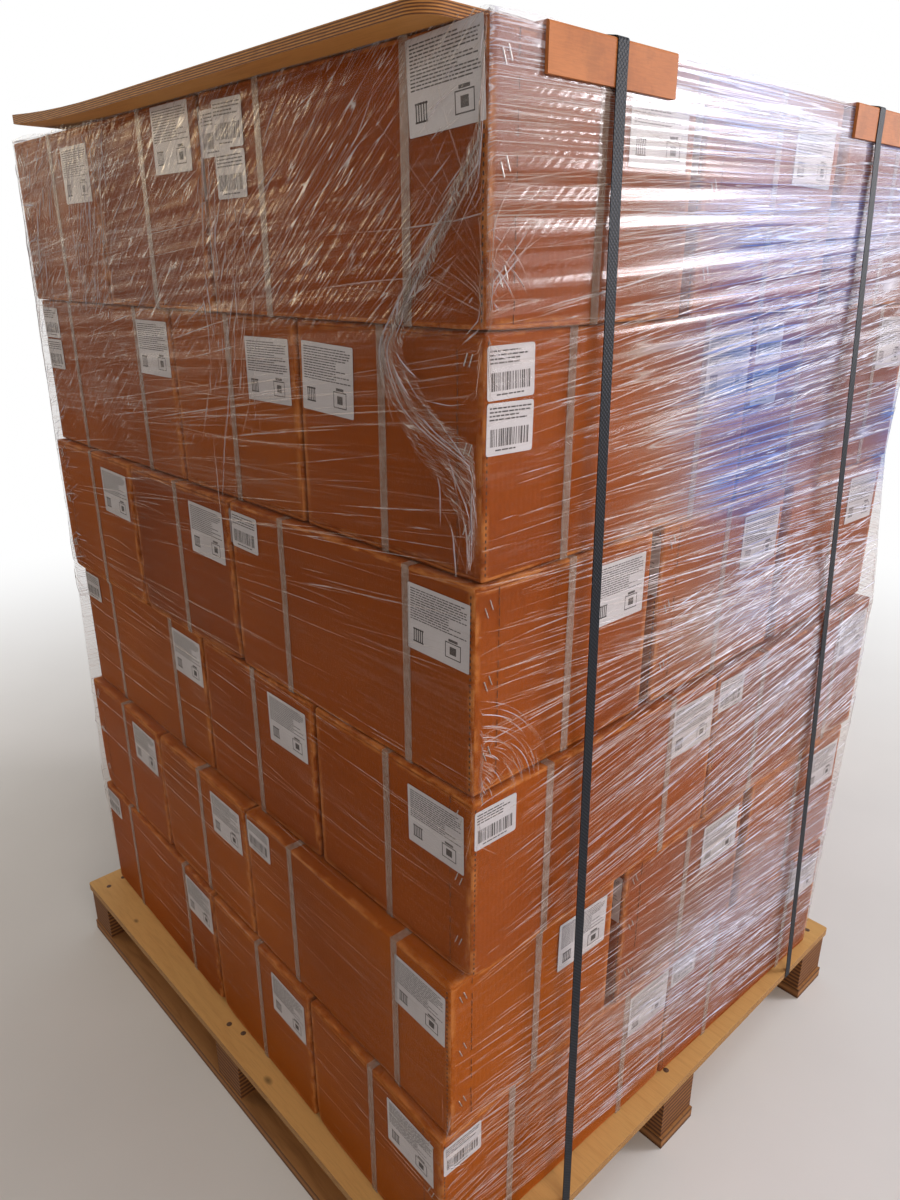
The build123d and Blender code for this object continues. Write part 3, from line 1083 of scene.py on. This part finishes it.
def swirl(way, z, count, near, far, low_angle, high_angle):
    """Folds that curl round one point like ripples, radii in metres."""
    for k in range(count):
        radius = near + (far - near) * (k + fold_draw.uniform(0, 3)) / count
        start = low_angle + fold_draw.uniform(0, 0.7) * (high_angle - low_angle)
        stop = min(high_angle, start + fold_draw.uniform(14, 45))
        flat = fold_draw.uniform(0.7, 0.95)
        angles = [math.radians(start + (stop - start) * step / 10) for step in range(11)]
        points = [off_from(way, z, a, radius, flat) for a in angles]
        wide, tall = fold_draw.uniform(0.8, 1.8), fold_draw.uniform(0.5, 1.2)
        lay_fold(folds, points, wide, tall, fold_draw.uniform(0.15, 0.6))


for corner in range(4):
    after, before = corner + 0.01, corner - 0.01 + (4 if corner == 0 else 0)
    # the layers have slid apart most at the upper joints, so more folds start there
    for k, strong in ((1, 0.5), (3, 0.9), (5, 1.6)):
        fan(after, joint_height[k], 4, 78, int(15 * strong), 0.11 + 0.03 * strong, 0.5)
        fan(after, joint_height[k], -60, -8, int(11 * strong), 0.12, 0.5)
        fan(before, joint_height[k], 105, 176, int(7 * strong), 0.11, 0.3)
        fan(before, joint_height[k], 185, 250, int(5 * strong), 0.11, 0.3)
fan(3.985, joint_height[5], 112, 166, 16, 0.30, 0.3)
swirl(0.02, joint_height[3], 84, 0.02, 0.14, -5, 88)
swirl(0.02, joint_height[5], 26, 0.03, 0.10, 20, 88)
print("fold faces so far:", len(folds.faces))

# %% Upright crinkles
# each bundle as (way, lowest foot, highest head, count)
crinkles = (
    (3.10, 1.30, 1.56, 12), (3.16, 1.34, 1.57, 14), (3.24, 1.30, 1.58, 18),
    (3.31, 1.36, 1.58, 16), (3.56, 1.05, 1.57, 22), (3.60, 1.3, 1.5, 10),
    (3.02, 0.95, 1.56, 26), (1.4, 1.3, 1.56, 10), (2.6, 1.2, 1.5, 12),
)
for way, low, high, count in crinkles:
    for _ in range(count):
        at = way + fold_draw.gauss(0, 0.016)
        foot = fold_draw.uniform(low, high)
        head = min(high, foot + fold_draw.uniform(0.03, 0.14))
        drift = fold_draw.uniform(-0.012, 0.03)
        points = [(at + drift * k / 8, foot + (head - foot) * k / 8) for k in range(9)]
        wide, tall = fold_draw.uniform(1.0, 2.4), fold_draw.uniform(0.6, 1.6)
        lay_fold(folds, points, wide, tall, fold_draw.uniform(0.1, 0.5))
film_piece(folds, "film_folds", drawn_glint_plastic)

# %% [markdown]
# ## The loose tail
# The last length of film was gathered into a rope, pulled down across the
# front and stuck to the turns below. One wide ribbon would look like a bandage,
# so it is made of strands that cross and part. Each is a grid laid along a
# smooth route on the film, pleated lengthwise and crumpled across.

# %% The tail's route
# given as (way, height in mm) from the top down
tail_route = [
    (3.985, 1585), (3.968, 1549), (3.950, 1508), (3.928, 1473), (3.905, 1440), (3.878, 1398), (3.853, 1357),
    (3.838, 1321), (3.858, 1277), (3.890, 1244), (3.930, 1212), (3.962, 1167), (3.978, 1128),
]


def along_route(route, t):
    """A point of a smooth line through the route, t from 0 to 1."""
    at = t * (len(route) - 1)
    k = min(int(at), len(route) - 2)
    a, b, c, d = (Vector(route[max(0, min(len(route) - 1, k + step))]) for step in (-1, 0, 1, 2))
    f = at - k
    return 0.5 * (2 * b + (c - a) * f + (2 * a - 5 * b + 4 * c - d) * f * f + (3 * b - a - 3 * c + d) * f**3)


def beside_route(t, shift):
    """The place a shift to the side of the tail's middle."""
    here, ahead = along_route(tail_route, min(t, 0.99)), along_route(tail_route, min(1.0, t + 0.01))
    heading = Vector(((ahead.x - here.x) * side_metres, (ahead.y - here.y) * mm)).normalized()
    return here.x - heading.y * shift / side_metres, here.y * mm + heading.x * shift


def tail_spread(t):
    """How far the strands part: most at the end, a little at the top."""
    return 0.55 + 1.1 * ease((t - 0.55) / 0.4) + 0.35 * ease((0.25 - t) / 0.25)


print("tail from", beside_route(0, 0), "to", beside_route(1, 0))

# %% Lay the tail
def make_strand(seed, wide, aside, first, last, steps=130, pleats=7):
    """One strand of the tail between two shares of the route."""
    bm = bmesh.new()
    bmesh.ops.create_grid(bm, x_segments=steps, y_segments=pleats, size=0.5)
    uv, haze_and_reflection, crackle = film_layers(bm)
    places = {}
    for v in bm.verts:
        share, across = v.co.x + 0.5, v.co.y
        t = first + (last - first) * share
        middle = (aside + 11 * mm * ripple(t * 4, seed, 1.0)) * tail_spread(t)
        swell = wide * (0.55 + 0.9 * abs(ripple(t * 7, seed, 8.0))) * ease(share * 9) * ease((1 - share) * 9)
        way, z = beside_route(t, middle + across * swell + 2.2 * mm * ripple(t * 34, across * 3 + seed, 4.0))
        edge = 1 - (2 * abs(across)) ** 3
        pleat = abs(ripple(t * 11, across * 4 + seed, 6.0)) * 6 * mm
        crumple = (0.5 + 0.5 * ripple(t * 90, across * 3 + seed, 2.0)) * 2.4 * mm
        v.co = film_point(way % 4, z, film_lift(way % 4, z) + 0.5 * mm + edge * (pleat + crumple))
        v[haze_and_reflection], v[crackle] = 0.05 + 0.25 * ripple(t * 26, across * 2 + seed, 0.0), 0.7
        places[v] = (t * 0.55, across * wide * 1.4 + 0.02 * t + seed)
    lay_map(bm, uv, places)
    return bm


# each strand as (width and shift aside in mm, first and last share of the route)
strands = ((26, 0, 0, 1), (17, -7, 0, 0.9), (19, 9, 0.3, 1), (15, 17, 0.5, 1), (17, -15, 0.55, 1))
tail = bmesh.new()
for k, (wide, aside, first, last) in enumerate(strands):
    join_to(tail, make_strand(k * 3.7, wide * mm, aside * mm, first, last))
film_piece(tail, "film_tail", loose_plastic)

# %% [markdown]
# Where the film is pulled thin it whitens in hairlines, a millimetre wide and
# some centimetres long, which taper at both ends. They are far sharper than a
# painted pattern, so they are laid as low ridges too. They follow the lean of
# the pull, crowd where the joints between layers gather the film, and stand
# steeper in the slack top layer of the front.
# Part of their white is painted glint, and it grows towards the far end of the strapped side as a painted
# reflection of the bright window.

# %% Lay the hairlines
hair_draw = random.Random(8)
hairs = bmesh.new()
film_layers(hairs)


def hairlines(count, low_way, high_way, low_z, high_z, longest, whiteness, low_lean=0.0, high_lean=0.0):
    """Thin ridges that follow the pull; the two leans, in degrees, turn them off it."""
    for _ in range(count):
        way, z = hair_draw.uniform(low_way, high_way), hair_draw.uniform(low_z, high_z)
        long = longest * hair_draw.uniform(0.15, 1.0) ** 1.6
        turned = math.radians(hair_draw.uniform(low_lean, high_lean) + hair_draw.gauss(0, 1.6))
        angle = math.atan(lean_at(way, z)) + turned
        sag = hair_draw.uniform(-0.012, 0.012) * long
        steps = max(5, int(long / 0.03))
        points = []
        for k in range(steps + 1):
            x, y = off_from(way, z, angle, k / steps * long)
            points.append((x, y + sag * math.sin(math.pi * k / steps)))
        low, high = sorted((points[0][1], points[-1][1]))
        if points[-1][0] > high_way + 0.04 or low <= film_low + 8 * mm or high >= load_top - 3 * mm:
            continue
        white = whiteness * hair_draw.uniform(0.4, 1.0)
        # on the strapped side they grow whiter towards the far end: a painted reflection of the bright window
        if way < 1:
            white *= 0.55 + 0.6 * ease((way - 0.1) / 0.5)
        lay_fold(hairs, points, hair_draw.uniform(0.8, 1.9), hair_draw.uniform(0.3, 0.8), white)


# each zone as hairlines takes it: (count, ways, heights, longest, whiteness, leans)
strapped_zones = (
    (300, 0.03, 0.94, 1.44, 1.565, 0.20, 0.6), (560, 0.10, 0.94, 1.22, 1.44, 0.34, 0.85),
    (170, 0.03, 0.94, 1.05, 1.22, 0.40, 0.8), (260, 0.02, 0.94, 0.92, 1.06, 0.40, 0.85),
    (110, 0.35, 0.90, 0.90, 1.00, 0.26, 0.95, 8, 16), (620, 0.10, 0.95, 0.64, 0.92, 0.30, 0.95),
    (250, 0.04, 0.95, 0.42, 0.66, 0.34, 0.85), (520, 0.04, 0.95, 0.16, 0.42, 0.30, 0.9),
    (110, 0.35, 0.92, 0.24, 0.40, 0.32, 0.95, -6, 0), (130, 0.02, 0.30, 0.22, 0.40, 0.16, 0.8, 10, 20),
)
hidden_zones = ((260, 1.02, 1.95, 0.16, 1.56, 0.35, 0.7), (260, 2.02, 2.95, 0.16, 1.56, 0.35, 0.7))
front_zones = (
    (150, 3.03, 3.96, 0.98, 1.30, 0.40, 0.45), (60, 3.03, 3.96, 0.80, 0.92, 0.36, 0.4),
    (150, 3.03, 3.96, 0.16, 0.80, 0.26, 0.25), (330, 3.02, 3.94, 1.32, 1.56, 0.09, 0.5, 12, 45),
    (150, 3.22, 3.32, 1.32, 1.55, 0.08, 0.6, 50, 80), (130, 3.54, 3.64, 1.20, 1.55, 0.09, 0.5, 55, 85),
    (200, 3.005, 3.09, 0.86, 1.52, 0.07, 0.8, -20, 60),
)
for zone in strapped_zones + hidden_zones + front_zones:
    hairlines(*zone)
print("hairline faces so far:", len(hairs.faces))

# %% Threads along the loose tail
# they lie a few millimetres off the film, as its pleats do
for _ in range(75):
    first = hair_draw.uniform(0, 0.92)
    last = min(1.0, first + hair_draw.uniform(0.05, 0.28))
    aside, drift = hair_draw.gauss(0, 10) * mm, hair_draw.gauss(0, 14) * mm
    stops = [first + (last - first) * k / 12 for k in range(13)]
    points = [beside_route(t, (aside + drift * k / 12) * tail_spread(t)) for k, t in enumerate(stops)]
    wide, tall = hair_draw.uniform(0.7, 1.6), hair_draw.uniform(0.6, 2.0)
    lay_fold(hairs, points, wide, tall, hair_draw.uniform(0.15, 0.6), clear=hair_draw.uniform(1.0, 3.5))
film_piece(hairs, "film_hairlines", drawn_glint_plastic)

# %% [markdown]
# ## Wood
# The deck and the top board are plywood: a smooth pale face veneer, and on
# every cut edge the thin dark and light lines of the plies. The lines follow
# height, so the finish chooses between face and edge by which way the surface
# looks. A knot is drawn round a point of the deck by its distance from it.

# %% Plywood finish
# Birch plywood and pine, peeled, pressed and sawn. It gives the eye a pale
# face with faint long grain, a ring or two of knots and striped, frayed edges.
def make_plywood(name, light, dark, ply_pitch, rough, figure=0.45, knots=()):
    made, tree, shader = new_material(name)
    spot = add(tree, "TexCoord").outputs["Object"]
    look = add(tree, "NewGeometry").outputs["Normal"]
    up = add(tree, "SeparateXYZ", Vector=look).outputs["Z"]
    lying = add(tree, "Math", {"operation": "ABSOLUTE"}, _0=up)
    face_share = add(tree, "ValToRGB", stops=[(0.5, 0.0), (0.6, 1.0)], Fac=lying)
    # grain 15 mm apart and 150 mm long, pores 1.4 mm apart and 33 mm long
    grain_at = add(tree, "Mapping", CELL, Vector=spot, Scale=(150 * mm, 15 * mm, 15 * mm))
    grain = add(tree, "TexNoise", Vector=grain_at, Scale=1.0, Detail=5.0, Distortion=1.2)
    pore_at = add(tree, "Mapping", CELL, Vector=spot, Scale=(33 * mm, 1.4 * mm, 1.4 * mm))
    pores = add(tree, "TexNoise", Vector=pore_at, Scale=1.0, Detail=2.0)
    figured = add(tree, "ValToRGB", stops=[(0.32, dark), (0.5, light)], Fac=grain)
    pored = add(tree, "ValToRGB", stops=[(0.32, 0.6), (0.5, 1.0)], Fac=pores)
    plain = add(tree, "Mix", MIX, _0=figure, _6=light, _7=figured)
    face = add(tree, "Mix", SHADE, _0=0.25, _6=plain, _7=pored)
    for x, y, radius in knots:
        middle, size = (x * mm, y * mm, deck_top), (1.8 * radius * mm, radius * mm, radius * mm)
        about = add(tree, "Mapping", CELL, Vector=spot, Location=middle, Scale=size)
        away = add(tree, "VectorMath", {"operation": "LENGTH"}, _0=about).outputs["Value"]
        ring = add(tree, "ValToRGB", stops=[(0.0, 0.3), (0.5, 0.55), (1.0, 1.0)], Fac=away)
        face = add(tree, "Mix", SHADE, _0=1.0, _6=face, _7=ring)
    ply = add(tree, "TexWave", {"bands_direction": "Z"}, Vector=spot, Scale=1 / (ply_pitch * mm) / 3.18)
    wire(ply, Distortion=0.35, Detail=2.0, Detail_Scale=30.0)
    fray_at = add(tree, "Mapping", CELL, Vector=spot, Scale=(17 * mm, 17 * mm, 1.1 * mm))
    fray = add(tree, "TexNoise", Vector=fray_at, Scale=1.0, Detail=4.0)
    both = add(tree, "Math", TIMES, _0=ply, _1=fray)
    edge = add(tree, "ValToRGB", stops=[(0.02, "#4c2c14"), (0.25, dark), (0.6, light)], Fac=both)
    colour = add(tree, "Mix", MIX, _0=face_share, _6=edge, _7=face)
    frayed = add(tree, "Bump", Height=both, Strength=0.4, Distance=0.8 * mm)
    fine = add(tree, "Bump", Height=pores, Strength=0.2, Distance=0.3 * mm, Normal=frayed)
    wire(shader, Base_Color=colour, Roughness=rough, Specular_IOR_Level=0.3, Normal=fine)
    return made


# knots of the deck near its front edge, as (x, y, radius) in mm
deck_knots = ((118, -512, 7), (-402, -506, 5))
woods = {
    "pallet_deck": make_plywood("birch_plywood_deck", "#cfa060", "#b07c40", 2.5, 0.6, 0.22, deck_knots),
    "top_board": make_plywood("rough_plywood_board", "#c98d4c", "#9a5f2a", 2.4, 0.65, 0.28),
    "pallet_blocks": make_plywood("laminated_wood_block", "#93602f", "#6a4020", 9, 0.75),
    "pallet_runners": make_plywood("sawn_pine_runner", "#a27243", "#7b4f2a", 22, 0.75),
}
for name, wood in woods.items():
    dress(name, wood)
print("wooden nodes dressed:", len(woods))

# %% [markdown]
# The deck is nailed to its blocks. Each nail sits in a small dark dent, so a
# dark rim with a rusty head in it stands a hair's breadth over the veneer.

# %% Nails
def dot(radius, thick):
    """A round, flat dot lying on the level, its foot at the origin; sizes in mm."""
    bm = bmesh.new()
    top, bottom = radius * 0.8 * mm, radius * mm
    bmesh.ops.create_cone(bm, cap_ends=True, segments=16, radius1=bottom, radius2=top, depth=thick * mm)
    bmesh.ops.translate(bm, vec=(0, 0, thick * mm / 2), verts=bm.verts)
    return as_mesh(bm, "dot")


nail_draw = random.Random(9)
nail_rim, nail_head = dot(5.0, 0.3), dot(3.2, 0.6)
rims, heads = bmesh.new(), bmesh.new()
# seen in the photograph at the front edge, drawn at random over the other blocks
nail_places = [(-31, -500), (4, -492), (-548, -502), (-556, -466), (562, -492)]
for side in (-1, 1):
    for y in (-8, 16, 470, 500):
        nail_places.append((side * 560 + nail_draw.uniform(-9, 9), y + nail_draw.uniform(-9, 9)))
nail_places += [(nail_draw.uniform(-30, 30), y) for y in (486, 503)]
for x, y in nail_places:
    spot = Matrix.Translation((x * mm, y * mm, deck_top + 0.05 * mm))
    stamp(rims, nail_rim, spot)
    stamp(heads, nail_head, spot)

# Veneer crushed by a hammer. It gives the eye a dark ring.
dent = make_clouded("crushed_veneer_dent", 3 * mm, 3.0, [(0.3, "#3a2312"), (0.7, "#5c3a1e")], Roughness=0.7)
# Mild steel nails, drawn, cut and rusted. They give the eye dark brown dots.
rust = make_clouded("rusty_steel_nail", 3 * mm, 3.0, [(0.3, "#2e1c12"), (0.7, "#6b4a35")], Roughness=0.7)
finish_mesh(rims, "deck_nail_dents", dent)
finish_mesh(heads, "deck_nail_heads", rust)
print("nails:", len(nail_places))

# %% [markdown]
# ## Edge protectors and straps
# The protectors are thick kraft fibreboard pressed into an angle. The straps
# are dark polyester, rolled with a fine diamond emboss that catches the light.

# %% Fibreboard and strap finishes
# Kraft fibreboard, wound, glued and pressed to an angle. It gives the eye an
# even orange brown with damp, darker patches and fine strokes along it.
def make_fibreboard():
    made, tree, shader = new_material("wound_kraft_fibreboard")
    spot = add(tree, "TexCoord").outputs["Object"]
    cloud = add(tree, "TexNoise", Vector=spot, Scale=1 / (110 * mm), Detail=5.0)
    stain = add(tree, "TexNoise", Vector=spot, Scale=1 / (45 * mm), Detail=6.0, Roughness=0.65)
    stroke_at = add(tree, "Mapping", CELL, Vector=spot, Scale=(1.4 * mm, 14 * mm, 1.4 * mm))
    stroke = add(tree, "TexNoise", Vector=stroke_at, Scale=1.0, Detail=3.0)
    base = add(tree, "ValToRGB", stops=[(0.3, "#b1662f"), (0.7, "#c87c42")], Fac=cloud)
    damp = add(tree, "ValToRGB", stops=[(0.38, 0.66), (0.5, 1.0)], Fac=stain)
    fine = add(tree, "ValToRGB", stops=[(0.35, 0.75), (0.6, 1.0)], Fac=stroke)
    damped = add(tree, "Mix", SHADE, _0=0.5, _6=base, _7=damp)
    colour = add(tree, "Mix", SHADE, _0=0.4, _6=damped, _7=fine)
    relief = add(tree, "Bump", Height=stroke, Strength=0.25, Distance=0.2 * mm)
    wire(shader, Base_Color=colour, Roughness=0.6, Specular_IOR_Level=0.3, Normal=relief)
    return made


# Polyester strap, extruded and rolled between knurled rolls. It gives the eye
# a near-black line, blue in the light, that sparkles with small diamonds. The
# colour follows the emboss: a painted highlight, lighter and bluer, on the
# diamonds and painted shade in the grooves.
def make_strap_plastic():
    made, tree, shader = new_material("embossed_polyester_strap")
    spot = add(tree, "TexCoord").outputs["Object"]
    mirrored = add(tree, "Mapping", Vector=spot, Scale=(1.0, -1.0, 1.0))
    # a real diamond is 2 mm, drawn 5 mm to show; a slanting wave needs twice the scale
    one, two = (
        add(tree, "TexWave", {"bands_direction": "DIAGONAL"}, Vector=at, Scale=2 / (5 * mm) / 3.18)
        for at in (spot, mirrored)
    )
    cross = add(tree, "Math", TIMES, _0=one, _1=two)
    # painted highlight on the raised diamonds and painted shade in the grooves between them
    colour = add(tree, "ValToRGB", stops=[(0.22, "#07090d"), (0.5, "#1d2430")], Fac=cross)
    emboss = add(tree, "Bump", Height=cross, Strength=0.7, Distance=0.4 * mm)
    wire(shader, Base_Color=colour, Roughness=0.42, Specular_IOR_Level=0.12, Normal=emboss)
    return made


fibreboard, strap_plastic = make_fibreboard(), make_strap_plastic()
for name in protectors:
    dress(name, fibreboard)
for number in (1, 2):
    dress(f"strap_{number}", strap_plastic)
print("protectors:", len(protectors), "straps: 2")

# %% [markdown]
# ## Floor, light and camera
# A pale floor takes the shadow. One large soft lamp stands at the far right,
# where its reflection runs along the film as a bright veil. Its smaller core
# draws the straps' shadows and the glints on the wrinkles. Weaker lamps fill
# the sides in front and the top. The camera repeats the photograph's place.

# %% Floor
# Painted concrete: a pale, matt ground with faint clouds.
def make_floor():
    bm = bmesh.new()
    bmesh.ops.create_grid(bm, x_segments=1, y_segments=1, size=12.0)
    floor = into_scene("floor", as_mesh(bm, "floor"))
    pale = [(0.3, "#dedcd9"), (0.7, "#e5e3e0")]
    made = make_clouded("pale_painted_concrete", 500 * mm, 4.0, pale, Roughness=0.8)
    tree = made.node_tree
    # far from the load the floor fades to the white background for the camera
    spot = add(tree, "TexCoord").outputs["Object"]
    away = add(tree, "VectorMath", {"operation": "LENGTH"}, _0=spot).outputs["Value"]
    smooth = {"interpolation_type": "SMOOTHSTEP"}
    fade = add(tree, "MapRange", smooth, Value=away, From_Min=1.0, From_Max=3.6)
    seen = add(tree, "LightPath").outputs["Is Camera Ray"]
    share = add(tree, "Math", TIMES, _0=fade, _1=seen)
    glow = add(tree, "Emission", Color="#ffffff", Strength=1.0)
    mixed = add(tree, "MixShader", _0=share, _1=tree.nodes["Principled BSDF"], _2=glow)
    wire(tree.nodes["Material Output"], Surface=mixed)
    floor.data.materials.append(made)


make_floor()
print("floor laid")

# %% Light
# each lamp as (name, place, target, width and height, watts, colour)
lamps = (
    ("far_right", (3.9, 4.6, 2.5), (0.3, 0.0, 0.9), (3.6, 3.2), 130, "#f7f3f8"),
    ("far_right_core", (3.9, 4.6, 2.5), (0.3, 0.0, 0.9), (1.1, 0.9), 150, "#f7f3f8"),
    ("strap_side_fill", (4.2, -1.4, 2.8), (0.3, 0.0, 0.8), (2.2, 2.2), 62, "#fff4ea"),
    ("front_fill", (-3.6, -2.3, 2.1), (0.0, -0.3, 1.0), (1.5, 1.5), 17, "#ffe9c8"),
    ("front_core", (-3.6, -2.3, 2.1), (0.0, -0.3, 1.0), (0.5, 0.5), 13, "#ffdca6"),
    ("top_panel", (0.3, 0.2, 4.4), (0.3, 0.2, 0.0), (3.6, 3.6), 55, "#fbfaf8"),
)
for name, place, target, size, watts, colour in lamps:
    data = bpy.data.lights.new(name, "AREA")
    data.shape = "RECTANGLE"
    data.size, data.size_y = size
    data.energy = watts
    data.color = hue(colour)[:3]
    lamp = into_scene(name, data)
    lamp.location = place
    lamp.rotation_euler = (Vector(target) - Vector(place)).to_track_quat("-Z", "Y").to_euler()

world = bpy.data.worlds.new("studio")
bpy.context.scene.world = world
world.use_nodes = True
air = world.node_tree
air.nodes.clear()
# the camera, gloss and clear parts see plain white, the rest a soft grey sky
rays = add(air, "LightPath").outputs
seen = add(air, "Math", LARGER, _0=rays["Is Camera Ray"], _1=rays["Is Transmission Ray"])
seen = add(air, "Math", LARGER, _0=seen, _1=rays["Is Glossy Ray"])
sky = add(air, "Background", Color="#e6e8ee", Strength=0.21)
white = add(air, "Background", Color="#ffffff", Strength=1.0)
add(air, "OutputWorld", Surface=add(air, "MixShader", _0=seen, _1=sky, _2=white))
print("lamps:", len(lamps))

# %% Camera
# fitted to the photograph's carton, seam and deck corners
view = bpy.data.cameras.new("photo_view")
view.lens = 26.433
view.sensor_width = 36.0
view.sensor_fit = "AUTO"
eye = into_scene("photo_view", view)
eye.location = (1.1286, -1.0347, 1.4026)
eye.rotation_euler = (math.radians(69.203), 0.0, math.radians(47.092))
bpy.context.scene.camera = eye
bpy.context.scene.view_settings.view_transform = "Standard"
print("camera at", [round(c, 3) for c in eye.location])
